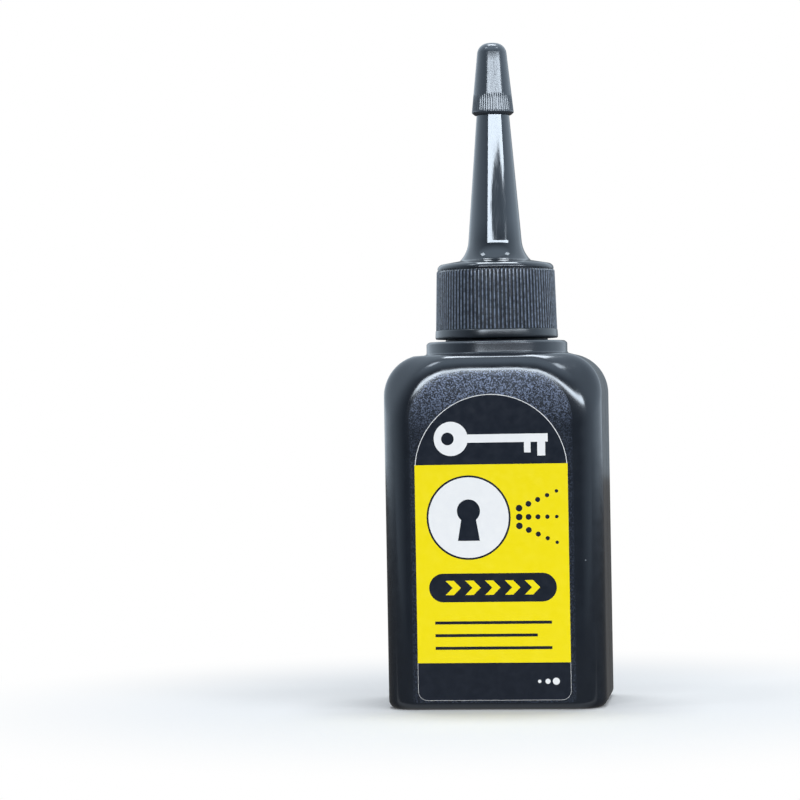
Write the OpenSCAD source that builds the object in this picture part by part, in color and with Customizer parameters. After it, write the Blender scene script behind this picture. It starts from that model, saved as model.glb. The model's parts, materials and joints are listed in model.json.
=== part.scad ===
// Squeeze bottle of graphite powder for locks: a blown bottle, a screw-on spout and a tip cap.
// Millimetres, +Z up, origin at the middle of the base, label on the -Y side.

/* [Bottle body] */
// Width of the body, seen from the front
body_width = 40; // [38:0.5:56]
// Depth of the body, front to back
body_depth = 32; // [30:0.5:44]
// Height of the body, from the table to the flat roof under the collar
body_height = 64.6; // [50:0.2:100]
// Radius of the upright corners, seen from above
corner_radius = 5.9; // [4.5:0.1:7]
// Radius of the round shoulders, seen from the front
shoulder_radius = 7.5; // [6:0.25:10]
// Radius of the upper corners of the flat front and back panels
panel_corner_radius = 8.4; // [6:0.2:12]
// Height of the rounded edge between a panel and the roof
roof_edge_height = 3.8; // [2:0.1:5]
// Depth of the rounded edge between a panel and the roof
roof_edge_depth = 3.2; // [2:0.1:4]
// Fullness of that rounded edge, where 2 makes it an ellipse
roof_edge_fullness = 2.5; // [2:0.1:3.5]
// Radius of the heel, the rounded edge round the base
heel_radius = 1.5; // [1.4:0.1:3]
// Thickness of the blown walls
bottle_wall = 1; // [0.7:0.05:1.3]
// Width of the flat rim that the bottle stands on
standing_rim = 3; // [2:0.25:5]
// Depth of the hollow pushed up into the base
push_up = 1.2; // [0.6:0.1:2]

/* [Collar and neck] */
// Diameter of the round collar under the cap
collar_diameter = 26.2; // [24:0.1:28]
// Height of the collar above the roof of the body
collar_height = 2.4; // [1.5:0.1:5]
// Radius of the rounded upper edge of the collar
collar_edge_radius = 0.5; // [0.2:0.1:0.8]
// Diameter of the neck between the turns of its thread
neck_diameter = 17.6; // [15:0.1:19]
// Height of the neck above the collar
neck_height = 12.3; // [9:0.1:15]
// Height of the bead round the foot of the neck
neck_bead_height = 1.4; // [0.8:0.1:2]
// Thickness of the neck's wall
neck_wall = 1.5; // [1:0.1:2.2]
// Depth of the screw thread on the neck
thread_depth = 0.9; // [0.6:0.05:1.2]

/* [Spout cap] */
// Thickness of the skirt at its top, with the ribs
skirt_wall = 1.1; // [0.9:0.05:2]
// How much wider the skirt is at its foot than at its top, on each side
skirt_flare = 0.35; // [0:0.05:0.8]
// Height of the plain band at the foot of the skirt
skirt_band = 1.7; // [1:0.1:3]
// Number of grip ribs round the skirt
rib_count = 96; // [40:2:110]
// Height of the grip ribs
rib_height = 0.25; // [0.15:0.05:0.4]
// Radius of the rounded edge at the top of the skirt
skirt_edge_radius = 0.9; // [0.6:0.1:1.8]
// Thickness of the cap's roof at the foot of the spout
cap_roof = 1.7; // [1.5:0.1:2.5]
// Slope of the roof, down from the spout to the edge of the skirt
roof_slope = 10; // [5:1:20]
// Length of the spout above the roof
spout_length = 39; // [28:0.2:60]
// Diameter of the spout where its taper meets the roof
spout_foot_diameter = 10.5; // [8.5:0.1:12]
// Diameter of the spout at its tip
spout_tip_diameter = 4.1; // [3:0.1:5]
// Radius of the hollow curve between the roof and the spout
spout_flare_radius = 5.8; // [2:0.1:7]
// Angle to the axis that the hollow curve has reached at the roof
spout_flare_angle = 45; // [30:1:60]
// Thickness of the spout's wall at its foot
spout_wall = 1.2; // [0.8:0.1:1.8]
// Diameter of the outlet at the tip
outlet_diameter = 1.8; // [1:0.1:2.2]
// Length of the straight outlet
outlet_length = 4; // [2:0.5:8]

/* [Tip cap] */
// Length of the tip cap
tip_cap_length = 13; // [10:0.1:18]
// Wall of the tip cap where its dome begins
tip_cap_wall = 0.55; // [0.4:0.05:1.4]
// Wall of the tip cap at its rim
tip_cap_rim_wall = 0.85; // [0.6:0.05:1.6]
// Thickness of the dome over the spout's tip
tip_cap_crown = 1.2; // [0.8:0.1:2]
// Height of the bevel under the rim
tip_cap_bevel = 0.5; // [0.3:0.05:0.7]
// Height of the plain rim above the bevel
tip_cap_rim_height = 0.6; // [0.4:0.1:1.5]
// Height of the knurled band above the rim
knurl_height = 2.5; // [2:0.1:5]
// Number of fine ribs in the knurled band
knurl_count = 52; // [30:1:70]
// Depth of the knurl
knurl_depth = 0.12; // [0.06:0.02:0.2]

/* [Washer, label and powder] */
// Thickness of the foam washer under the cap's roof
washer_thickness = 1; // [0.6:0.1:1.6]
// Width of the washer's ring
washer_width = 4.2; // [3:0.1:4.6]
// Thickness of the label
label_thickness = 0.12; // [0.08:0.01:0.25]
// Bare strip of the front panel beside the label
label_side_margin = 0.2; // [0.1:0.1:4]
// Bare strip between the heel and the label
label_foot_margin = 0.3; // [0.1:0.1:6]
// Bare strip between the label's arch and the rounded edge of the roof
label_head_margin = 3.6; // [1:0.1:10]
// Radius of the label's lower corners
label_corner_radius = 1.7; // [0.5:0.1:4]
// Depth of the powder at the wall, from the table
powder_level = 48; // [25:1:50]
// How far the powder is heaped up in the middle
powder_heap = 2; // [0.5:0.25:4]

/* [Hidden] */

// Clearances between the pieces
thread_clearance = 0.25;
washer_clearance = 0.25;
bead_clearance = 0.45;
skirt_clearance = 0.5;
tip_clearance = 0.1;
tip_end_clearance = 0.3;
powder_clearance = 0.15;

// How late, on the way round a corner, the panel's arch gives way to the tighter shoulder
shoulder_delay = 6;

// Small sizes that only shape one edge
overrun = 0.5;
collar_sink = 0.6;
push_up_corner = 1.2;
push_up_angle = 45;
skirt_bevel = 0.25;
rib_root_cover = 0.15;
rib_sink = 0.06;
knurl_sink = 0.03;

// Smoothness of the curves
$fn = 96;
corner_steps = 9;
heel_steps = 5;
shoulder_steps = 20;
fillet_steps = 8;
arch_steps = 48;

// Shares of one rib's pitch that its crest and its root take
crest_share = 0.4;
root_share = 0.2;
// Shares of the way in from the wall, and of the heap's height, on the heap of powder
heap_inset_shares = [0, 0.35, 0.7, 0.95];
heap_height_shares = [0, 0.5, 0.85, 1];

// Levels, from the table up
collar_top = body_height + collar_height;
neck_top = collar_top + neck_height;
washer_top = neck_top + washer_thickness;
cap_top = washer_top + cap_roof;
skirt_foot = collar_top + skirt_clearance;
rib_foot = skirt_foot + skirt_band;
spout_tip = cap_top + spout_length;
tip_cap_top = spout_tip + tip_end_clearance + tip_cap_crown;
tip_cap_foot = tip_cap_top - tip_cap_length;
tip_cap_rim = tip_cap_foot + tip_cap_bevel;
knurl_foot = tip_cap_rim + tip_cap_rim_height;
knurl_top = knurl_foot + knurl_height;

// Radii round the axis
neck_radius = neck_diameter / 2;
neck_bore_radius = neck_radius - neck_wall;
cap_bore_radius = neck_radius + thread_depth + thread_clearance;
neck_bead_radius = cap_bore_radius - bead_clearance;
skirt_top_radius = cap_bore_radius + skirt_wall;
skirt_foot_radius = skirt_top_radius + skirt_flare;
rib_core_radius = (cap_bore_radius + skirt_top_radius - rib_sink - rib_height) / 2;
cap_edge_radius = skirt_top_radius - rib_height;
spout_foot_radius = spout_foot_diameter / 2;
spout_tip_radius = spout_tip_diameter / 2;
washer_radius = cap_bore_radius - washer_clearance;

// Hollow curve at the foot of the spout, which touches the spout's taper, and the sloping roof outside it
spout_lean = atan((spout_foot_radius - spout_tip_radius) / spout_length);
flare_top = cap_top + spout_flare_radius * (sin(spout_flare_angle) - sin(spout_lean));
flare_centre = [spout_radius(flare_top) + spout_flare_radius * cos(spout_lean),
                cap_top + spout_flare_radius * sin(spout_flare_angle)];
flare_foot_radius = flare_centre[0] - spout_flare_radius * cos(spout_flare_angle);
roof_edge_radius = cap_edge_radius - skirt_edge_radius * (1 - sin(roof_slope));
skirt_top = cap_top - (roof_edge_radius - flare_foot_radius) * tan(roof_slope)
    - skirt_edge_radius * cos(roof_slope);

// Shape of the base's hollow
push_up_inset = heel_radius + standing_rim;
push_up_run = push_up / tan(push_up_angle);

// Label on the flat front panel
label_width = body_width - 2 * (corner_radius + label_side_margin);
label_foot = heel_radius + label_foot_margin;
label_height = body_height - roof_edge_height - label_head_margin - label_foot;

// Points of a round arc in a profile, from one angle to another
function arc(centre, radius, from, to, steps) =
    [for (i = [0:steps]) let (a = from + (to - from) * i / steps) centre + radius * [cos(a), sin(a)]];

// Radius of the skirt at a level, and of the spout's outside taper
function skirt_radius(z) =
    skirt_foot_radius - skirt_flare * (z - skirt_foot) / (skirt_top - skirt_foot);
function spout_radius(z) =
    spout_foot_radius - (spout_foot_radius - spout_tip_radius) * (z - cap_top) / spout_length;

// Radius of the tip cap's hollow, and of its outside taper from the rim to the dome
function tip_bore_radius(z) = spout_radius(z) + tip_clearance;
tip_dome_radius = tip_bore_radius(spout_tip) + tip_cap_wall - tip_cap_crown / 2;
tip_dome_foot = tip_cap_top - tip_dome_radius;
tip_rim_radius = tip_bore_radius(tip_cap_rim) + tip_cap_rim_wall;
tip_shoulder_radius = tip_bore_radius(tip_dome_foot) + tip_cap_wall;
function tip_cap_radius(z) =
    tip_rim_radius - (tip_rim_radius - tip_shoulder_radius) * (z - tip_cap_rim)
    / (tip_dome_foot - tip_cap_rim);
knurl_core_radius = (tip_bore_radius(knurl_foot) + tip_cap_radius(knurl_top) - knurl_sink - knurl_depth) / 2;

// One level ring of the body: flat sides joined by elliptical corners
function ring(half_width, half_depth, flat_width, flat_depth, z) = [
    for (quarter = [0:3], step = [0:corner_steps])
        let (
            a = 90 * (quarter + step / corner_steps),
            side = quarter == 0 || quarter == 3 ? 1 : -1,
            face = quarter < 2 ? 1 : -1
        )
        [side * flat_width + (half_width - flat_width) * cos(a),
         face * flat_depth + (half_depth - flat_depth) * sin(a), z]
];

// A ring of the straight body, drawn in from the outside by an inset
function body_ring(inset, z) =
    let (r = max(corner_radius - inset, push_up_corner))
    ring(body_width / 2 - inset, body_depth / 2 - inset,
         body_width / 2 - inset - r, body_depth / 2 - inset - r, z);

// The hollow base and the heel of a skin that lies a given way inside the outer one
function base_rings(inside) =
    let (
        slope_shift = inside * tan(push_up_angle / 2),
        heel = heel_radius - inside
    )
    concat(
        [body_ring(push_up_inset + push_up_run - slope_shift, push_up + inside),
         body_ring(push_up_inset - slope_shift, inside)],
        [for (i = [0:heel_steps]) let (a = 90 * i / heel_steps)
            body_ring(heel_radius - heel * sin(a), heel_radius - heel * cos(a))]
    );

// One side of a superellipse from its other side, both as shares of its half axes
function rounded_share(share) = pow(1 - pow(share, roof_edge_fullness), 1 / roof_edge_fullness);

// Upright sections of the upper body, from a flat panel (turn 0) round the corner to the full width (turn 90),
// for a skin that lies a given way inside the outer one: half width, distance from the middle, top and radius
function section_half_width(turn, inside) =
    body_width / 2 - corner_radius + (corner_radius - inside) * sin(turn);
function section_place(turn, inside) =
    body_depth / 2 - corner_radius + (corner_radius - inside) * cos(turn);
function section_top(turn, inside) =
    let (
        behind_panel = (corner_radius - inside) * (1 - cos(turn)),
        share_left = max(0, 1 - behind_panel / (roof_edge_depth - inside))
    )
    body_height - inside - (roof_edge_height - inside) * (1 - rounded_share(share_left));
function section_radius(turn, inside) =
    let (shoulder_share = pow(sin(turn), shoulder_delay))
    (panel_corner_radius + (corner_radius - inside) * sin(turn)) * (1 - shoulder_share)
    + (shoulder_radius - inside) * shoulder_share;

// Half the width of a section at a level, under its round upper corner
function section_reach(turn, inside, z) =
    let (
        r = section_radius(turn, inside),
        rise = max(0, z - section_top(turn, inside) + r)
    )
    section_half_width(turn, inside) - r + sqrt(max(0, r * r - rise * rise));

// The first section that is still as high as a level
function first_turn(inside, z) =
    let (
        edge_height = roof_edge_height - inside,
        fall_share = min(1, max(0, body_height - inside - z) / edge_height),
        behind_panel = (1 - rounded_share(1 - fall_share)) * (roof_edge_depth - inside)
    )
    acos(1 - behind_panel / (corner_radius - inside));

// One level ring of the upper body, cut through its upright sections
function upper_ring(inside, z) = [
    for (quarter = [0:3], step = [0:corner_steps])
        let (
            share = (quarter % 2 == 0 ? corner_steps - step : step) / corner_steps,
            start = first_turn(inside, z),
            turn = start + (90 - start) * share,
            side = quarter == 0 || quarter == 3 ? 1 : -1,
            face = quarter < 2 ? 1 : -1
        )
        [side * section_reach(turn, inside, z), face * section_place(turn, inside), z]
];

// The shoulders, from the straight body up to the flat roof
function shoulder_rings(inside) =
    let (
        foot = body_height - roof_edge_height - panel_corner_radius,
        top = body_height - inside
    )
    [for (i = [0:shoulder_steps]) upper_ring(inside, foot + (top - foot) * sin(90 * i / shoulder_steps))];

// A closed solid through a stack of rings that have the same number of points
module loft(rings) {
    n = len(rings[0]);
    last = len(rings) - 1;
    polyhedron(
        points = [for (r = rings, p = r) p],
        faces = concat(
            [[for (j = [0:n - 1]) j]],
            [for (i = [0:last - 1], j = [0:n - 1])
                [i * n + j, (i + 1) * n + j, (i + 1) * n + (j + 1) % n]],
            [for (i = [0:last - 1], j = [0:n - 1])
                [i * n + j, (i + 1) * n + (j + 1) % n, i * n + (j + 1) % n]],
            [[for (j = [n - 1:-1:0]) last * n + j]]
        )
    );
}

// Outline of a ring of ribs, seen along the axis
function rib_outline(count, crest_radius, height) = [
    for (i = [0:count - 1], corner = [0:3])
        let (
            pitch = 360 / count,
            half_share = corner == 0 || corner == 3 ? 1 - root_share : crest_share,
            a = pitch * (i + (corner < 2 ? -half_share : half_share) / 2),
            r = corner == 0 || corner == 3 ? crest_radius - height : crest_radius
        )
        r * [cos(a), sin(a)]
];

// A tapered band of ribs round the axis, hollow so that it can wrap a wall
module rib_band(count, height, foot, top, foot_radius, top_radius, core_radius) {
    difference() {
        translate([0, 0, foot])
            linear_extrude(height = top - foot, scale = top_radius / foot_radius)
                polygon(rib_outline(count, foot_radius, height));
        translate([0, 0, foot - overrun])
            cylinder(r = core_radius, h = top - foot + 2 * overrun);
    }
}

// Half section of the collar, with a round upper edge
function collar_section() =
    let (side = collar_diameter / 2, edge = collar_edge_radius)
    concat(
        [[0, body_height - collar_sink],
         [side, body_height - collar_sink]],
        arc([side - edge, collar_top - edge], edge, 0, 90, fillet_steps),
        [[0, collar_top]]
    );

// Blown bottle with its collar and its neck; the neck's bore opens into the body
module bottle() {
    color("#1c1c1e")
    difference() {
        union() {
            loft(concat(base_rings(0), shoulder_rings(0)));
            rotate_extrude()
                polygon(collar_section());
            translate([0, 0, collar_top - collar_sink])
                cylinder(r = neck_radius, h = neck_height + collar_sink);
            translate([0, 0, collar_top - collar_sink])
                cylinder(r = neck_bead_radius, h = neck_bead_height + collar_sink);
        }
        loft(concat(base_rings(bottle_wall), shoulder_rings(bottle_wall)));
        translate([0, 0, body_height - bottle_wall - overrun])
            cylinder(r = neck_bore_radius, h = neck_top - body_height + bottle_wall + 2 * overrun);
    }
}

// Foam ring that the neck's rim presses on
module sealing_washer() {
    color("#e4e2dc")
    translate([0, 0, neck_top])
        difference() {
            cylinder(r = washer_radius, h = washer_thickness);
            translate([0, 0, -overrun])
                cylinder(r = washer_radius - washer_width, h = washer_thickness + 2 * overrun);
        }
}

// Half section of the spout cap: skirt, roof, flare, tapered spout and the channel inside
function spout_cap_section() =
    let (rib_floor = rib_core_radius + rib_root_cover)
    concat(
        [[cap_bore_radius, skirt_foot],
         [skirt_foot_radius - skirt_bevel, skirt_foot],
         [skirt_foot_radius, skirt_foot + skirt_bevel],
         [skirt_radius(rib_foot), rib_foot],
         [rib_floor, rib_foot],
         [rib_floor, skirt_top]],
        arc([cap_edge_radius - skirt_edge_radius, skirt_top], skirt_edge_radius,
            0, 90 - roof_slope, fillet_steps),
        arc(flare_centre, spout_flare_radius, 180 + spout_flare_angle, 180 + spout_lean, fillet_steps),
        [[spout_tip_radius, spout_tip],
         [outlet_diameter / 2, spout_tip],
         [outlet_diameter / 2, spout_tip - outlet_length],
         [spout_foot_radius - spout_wall, washer_top],
         [cap_bore_radius, washer_top]]
    );

// Screw cap and spout in one moulding, with the ribs let in between two plain bands
module spout_cap() {
    color("#161618")
    union() {
        rotate_extrude()
            polygon(spout_cap_section());
        rib_band(rib_count, rib_height, rib_foot, skirt_top,
                 skirt_radius(rib_foot) - rib_sink, skirt_top_radius - rib_sink, rib_core_radius);
    }
}

// Half section of the tip cap: bevelled rim, tapered wall, round dome and a tapered hollow
function tip_cap_section() =
    let (
        knurl_floor = knurl_core_radius + knurl_depth,
        hollow_end = spout_tip + tip_end_clearance
    )
    concat(
        [[tip_bore_radius(tip_cap_foot), tip_cap_foot],
         [tip_rim_radius - tip_cap_bevel, tip_cap_foot],
         [tip_rim_radius, tip_cap_rim],
         [tip_cap_radius(knurl_foot), knurl_foot],
         [knurl_floor, knurl_foot],
         [knurl_floor, knurl_top],
         [tip_cap_radius(knurl_top), knurl_top]],
        arc([tip_shoulder_radius - tip_dome_radius, tip_dome_foot], tip_dome_radius, 0, 90, fillet_steps),
        [[0, tip_cap_top],
         [0, hollow_end],
         [tip_bore_radius(hollow_end), hollow_end]]
    );

// Small cap over the end of the spout, with a fine knurl above its rim
module tip_cap() {
    color("#2a2b2f")
    union() {
        rotate_extrude()
            polygon(tip_cap_section());
        rib_band(knurl_count, knurl_depth, knurl_foot, knurl_top,
                 tip_cap_radius(knurl_foot) - knurl_sink, tip_cap_radius(knurl_top) - knurl_sink,
                 knurl_core_radius);
    }
}

// Label on the front panel: round arch above, small round corners below
module front_label() {
    color("#f2e313")
    translate([0, -body_depth / 2, label_foot])
        rotate([90, 0, 0])
            linear_extrude(height = label_thickness)
                polygon(concat(
                    arc([label_width / 2 - label_corner_radius, label_corner_radius],
                        label_corner_radius, 270, 360, fillet_steps),
                    arc([0, label_height - label_width / 2], label_width / 2, 0, 180, arch_steps),
                    arc([label_corner_radius - label_width / 2, label_corner_radius],
                        label_corner_radius, 180, 270, fillet_steps)
                ));
}

// Charge of powder that fills the body, a little clear of the walls and heaped in the middle
module graphite_powder() {
    gap = bottle_wall + powder_clearance;
    heap_run = body_depth / 2 - gap;
    color("#3a3b3d")
    loft(concat(
        base_rings(gap),
        [for (i = [0:len(heap_inset_shares) - 1])
            body_ring(gap + heap_run * heap_inset_shares[i],
                      powder_level + powder_heap * heap_height_shares[i])]
    ));
}

bottle();
sealing_washer();
spout_cap();
tip_cap();
front_label();
graphite_powder();
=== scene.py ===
# %% [markdown]
# # A squeeze bottle of graphite powder
# The object is a small blown bottle of black polyethylene. A ribbed cap with a long spout screws onto its
# neck, a little tip cap closes the spout, and a printed film label with an arched head is on the front.
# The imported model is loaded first. It holds the true sizes and it is never moved, so every piece that is
# modelled below takes its place from it.

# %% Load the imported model
import json
import math

import bmesh
import bpy
from mathutils import Matrix, Vector

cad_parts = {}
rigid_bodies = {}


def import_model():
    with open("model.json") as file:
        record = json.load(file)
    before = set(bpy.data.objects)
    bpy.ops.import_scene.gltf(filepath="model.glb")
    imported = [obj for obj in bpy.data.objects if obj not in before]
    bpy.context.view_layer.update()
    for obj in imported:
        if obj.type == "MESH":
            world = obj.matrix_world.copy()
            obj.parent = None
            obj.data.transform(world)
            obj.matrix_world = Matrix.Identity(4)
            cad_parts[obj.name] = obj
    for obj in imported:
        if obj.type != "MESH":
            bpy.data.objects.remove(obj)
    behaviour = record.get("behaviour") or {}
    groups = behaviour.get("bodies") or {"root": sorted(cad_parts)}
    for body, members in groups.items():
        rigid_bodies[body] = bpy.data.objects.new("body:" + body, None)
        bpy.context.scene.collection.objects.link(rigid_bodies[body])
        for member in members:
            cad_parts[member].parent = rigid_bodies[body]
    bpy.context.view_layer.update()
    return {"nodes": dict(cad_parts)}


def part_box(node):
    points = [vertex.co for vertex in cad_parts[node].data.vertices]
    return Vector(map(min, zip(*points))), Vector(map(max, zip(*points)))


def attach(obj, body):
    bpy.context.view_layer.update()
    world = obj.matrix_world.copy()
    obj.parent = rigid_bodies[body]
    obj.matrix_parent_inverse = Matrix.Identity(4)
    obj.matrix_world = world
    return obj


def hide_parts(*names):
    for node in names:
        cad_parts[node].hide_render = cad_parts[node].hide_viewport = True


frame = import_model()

mm = 0.001
tolerance = 0.001 * mm

# %% [markdown]
# The corners of each node's box give the sizes that the looks have to keep: how wide the bottle is, where
# the neck ends, where the cap begins. Reading them here means that nothing has to be fitted afterwards.

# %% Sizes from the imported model
bottle_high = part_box("bottle")[1]
cap_low, cap_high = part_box("spout_cap")
tip_low, tip_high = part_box("tip_cap")
label_low, label_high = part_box("front_label")
washer_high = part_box("sealing_washer")[1]

half_width = bottle_high.x
half_depth = bottle_high.y
neck_top = bottle_high.z
print("bottle", [round(side / mm, 2) for side in (2 * half_width, 2 * half_depth, neck_top)], "mm")

# %% [markdown]
# Two ways of modelling serve almost every piece here. A shape that is round about the axis is turned: its
# profile is drawn point by point with Extrude and swept round with Spin. A shape that changes from one
# outline to another, like the bottle's shoulder, is stacked: a circle is extruded ring by ring, and each
# ring is set to its own outline. Both leave clean rows of four-sided faces that shade smoothly.

# %% Helpers: profiles, and the start and end of a mesh
def arc(centre, radius, start, end, steps):
    """Points (radius, level) along a round stretch of a profile. The angles are in degrees."""
    angles = [math.radians(start + (end - start) * i / steps) for i in range(steps + 1)]
    return [(centre[0] + radius * math.cos(a), centre[1] + radius * math.sin(a)) for a in angles]


def smooth_step(value):
    """Eases from 0 to 1 while value goes from 0 to 1."""
    value = min(max(value, 0), 1)
    return value * value * (3 - 2 * value)


def sine(degrees):
    return math.sin(math.radians(degrees))


def cosine(degrees):
    return math.cos(math.radians(degrees))


def rounded(radius, level, size, start, end, steps):
    """Rounds the corner of a profile at (radius, level)."""
    middle = (start + end) / 2
    centre = (radius - math.copysign(size, cosine(middle)), level - math.copysign(size, sine(middle)))
    return arc(centre, size, start, end, steps)


def start_piece(name, add, **settings):
    """Deselects everything, adds a primitive and names it."""
    bpy.ops.object.select_all(action="DESELECT")
    add(**settings)
    piece = bpy.context.object
    piece.name = piece.data.name = name
    return piece


def leave_edit_mode():
    """Turns all faces of the piece outwards and goes back to object mode."""
    bpy.ops.mesh.select_all(action="SELECT")
    bpy.ops.mesh.normals_make_consistent(inside=False)
    bpy.ops.object.mode_set(mode="OBJECT")


# %% Helpers: a turned shape
def turn_profile(name, profile, steps, closed):
    """Draws a profile of (radius, level) points from one vertex and spins it round the axis."""
    start = (profile[0][0], 0, profile[0][1])
    piece = start_piece(name, bpy.ops.mesh.primitive_plane_add, size=mm, location=start)
    bpy.ops.object.transform_apply(location=True)
    bpy.ops.object.mode_set(mode="EDIT")
    bpy.ops.mesh.merge(type="CENTER")
    for (radius, level), (next_radius, next_level) in zip(profile, profile[1:]):
        move = (next_radius - radius, 0, next_level - level)
        bpy.ops.mesh.extrude_region_move(TRANSFORM_OT_translate={"value": move})
    if closed:
        mesh = bmesh.from_edit_mesh(piece.data)
        for vertex in mesh.verts:
            vertex.select_set(len(vertex.link_edges) == 1)
        bpy.ops.mesh.edge_face_add()
    bpy.ops.mesh.select_all(action="SELECT")
    bpy.ops.mesh.spin(steps=steps, angle=math.tau, center=(0, 0, 0), axis=(0, 0, 1))
    bpy.ops.mesh.select_all(action="SELECT")
    bpy.ops.mesh.remove_doubles(threshold=tolerance)
    leave_edit_mode()
    return piece


# %% Helpers: a stacked shape
def stack_rings(name, rings):
    """Extrudes a circle ring by ring, sets each ring to its own points and closes both ends."""
    piece = start_piece(name, bpy.ops.mesh.primitive_circle_add, vertices=len(rings[0]))
    bpy.ops.object.mode_set(mode="EDIT")
    bpy.ops.mesh.select_all(action="SELECT")
    row = list(range(len(rings[0])))
    for number, ring in enumerate(rings):
        if number == 1:
            bpy.ops.mesh.edge_face_add()
        if number:
            bpy.ops.mesh.extrude_edges_move()
        mesh = bmesh.from_edit_mesh(piece.data)
        mesh.verts.index_update()
        mesh.verts.ensure_lookup_table()
        if number:
            row = [next(e.other_vert(mesh.verts[i]).index for e in mesh.verts[i].link_edges
                        if e.other_vert(mesh.verts[i]).select) for i in row]
        for index, point in zip(row, ring):
            mesh.verts[index].co = point
        bmesh.update_edit_mesh(piece.data)
    bpy.ops.mesh.edge_face_add()
    leave_edit_mode()
    return piece


# %% Helpers: finishing a piece
def finish_piece(piece, body, material, sharp_angle):
    """Smooths a piece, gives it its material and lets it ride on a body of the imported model."""
    bpy.ops.object.select_all(action="DESELECT")
    piece.select_set(True)
    bpy.context.view_layer.objects.active = piece
    bpy.ops.object.shade_smooth_by_angle(angle=math.radians(sharp_angle))
    piece.data.materials.clear()
    piece.data.materials.append(material)
    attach(piece, body)
    piece.data.calc_loop_triangles()
    print(f"{piece.name}: {len(piece.data.loop_triangles)} triangles on {body}")


# %% [markdown]
# Materials are built from nodes. One function turns a colour written as in a paint program into the linear
# value that the shader wants, one sets or links the inputs of a node, and one adds a node.

# %% Helpers: materials
def linear(hex_colour):
    """Turns an sRGB hex colour into the linear colour that the shader takes."""
    values = [int(hex_colour[i:i + 2], 16) / 255 for i in (1, 3, 5)]
    return tuple(v / 12.92 if v <= 0.04045 else ((v + 0.055) / 1.055) ** 2.4 for v in values) + (1.0,)


def set_inputs(tree, node, inputs):
    """Sets inputs, by name or number, to a value, to another node's output or to a node's first output in use."""
    for socket, value in inputs.items():
        if isinstance(value, bpy.types.Node):
            value = next(output for output in value.outputs if output.enabled)
        if isinstance(value, bpy.types.NodeSocket):
            tree.links.new(value, node.inputs[socket])
        else:
            node.inputs[socket].default_value = value


def add_node(tree, kind, inputs=None, **settings):
    """Adds one node with its settings and its inputs."""
    node = tree.nodes.new("ShaderNode" + kind)
    for name, value in settings.items():
        setattr(node, name, value)
    set_inputs(tree, node, inputs or {})
    return node


def new_material(name):
    """Makes a material and returns it with its tree, its shader and its Object coordinates."""
    material = bpy.data.materials.new(name)
    material.use_nodes = True
    tree = material.node_tree
    shader = tree.nodes["Principled BSDF"]
    place = add_node(tree, "TexCoord").outputs["Object"]
    return material, tree, shader, place


# The Mix node keeps its colour inputs behind those for numbers and vectors
COLOUR_A, COLOUR_B = 6, 7

# %% [markdown]
# ** Blow-moulded polyethylene.** The bottle is black polyethylene with a soft gloss. The mould was polished
# on the shoulders and the sides, and spark-eroded on the front and the back, which leaves a fine grain that
# glitters where light comes in low. The grain is a noise of about a fifth of a millimetre: a low relief,
# rougher than the polished part, with a paler tone on its tops as painted glints. It belongs to the flat
# panels and runs out where their edges turn away, so its mask reads which way the surface faces. Lower down
# its relief grows fainter and the painted glints fade, as painted shade. The refractive index is set above
# the 1.54 of plain polyethylene, and reflections are tinted a little, because the real gloss is strong and
# bluish.

# %% Blow-moulded polyethylene
plastic_gloss = {"IOR": 1.65, "Specular Tint": linear("#EDF6FF")}
grain_size, grain_depth = 0.215 * mm, 0.02 * mm
panel_edge, panel_flat = 0.989, 0.997
grain_end, collar_foot = 61.5 * mm, 64.4 * mm
# Painted shade: from the upper level down to the lower one the painted glints fade, and the relief with them
faded_below, unfaded_above, faded_share = 51 * mm, 62 * mm, 0.09
# Painted glints: between these values of the grain's noise the tone turns paler
painted_glint_start, painted_glint_full = 0.46, 0.68
peel_size, peel_depth = 5 * mm, 0.05 * mm
scuff_size = 2.5 * mm
polished_roughness = (0.12, 0.17)
# Two black tones at random, and the pale tone of the painted glints
black_tones, painted_glint_tone = ("#171B22", "#1C2129"), "#94A3C4"
collar_roughening, grain_roughening = 0.09, 0.17
dust_tone, dust_spacing = "#9AA0A6", 1.7 * mm
speck_reach, speck_strength = 0.085, 0.55


def add_dust(tree, place, base, spacing, amount):
    """Strews small pale specks over a base colour, on about the given share of the cells."""
    cells = add_node(tree, "TexVoronoi", {"Vector": place, "Scale": 1 / spacing})
    chosen = add_node(tree, "Math", {0: cells.outputs["Color"], 1: 1 - amount}, operation="GREATER_THAN")
    near = add_node(tree, "Math", {0: cells.outputs["Distance"], 1: speck_reach}, operation="LESS_THAN")
    speck = add_node(tree, "Math", {0: chosen, 1: near}, operation="MULTIPLY")
    speck = add_node(tree, "Math", {0: speck, 1: speck_strength}, operation="MULTIPLY")
    return add_node(tree, "Mix", {0: speck, COLOUR_A: base, COLOUR_B: linear(dust_tone)}, data_type="RGBA")


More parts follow.
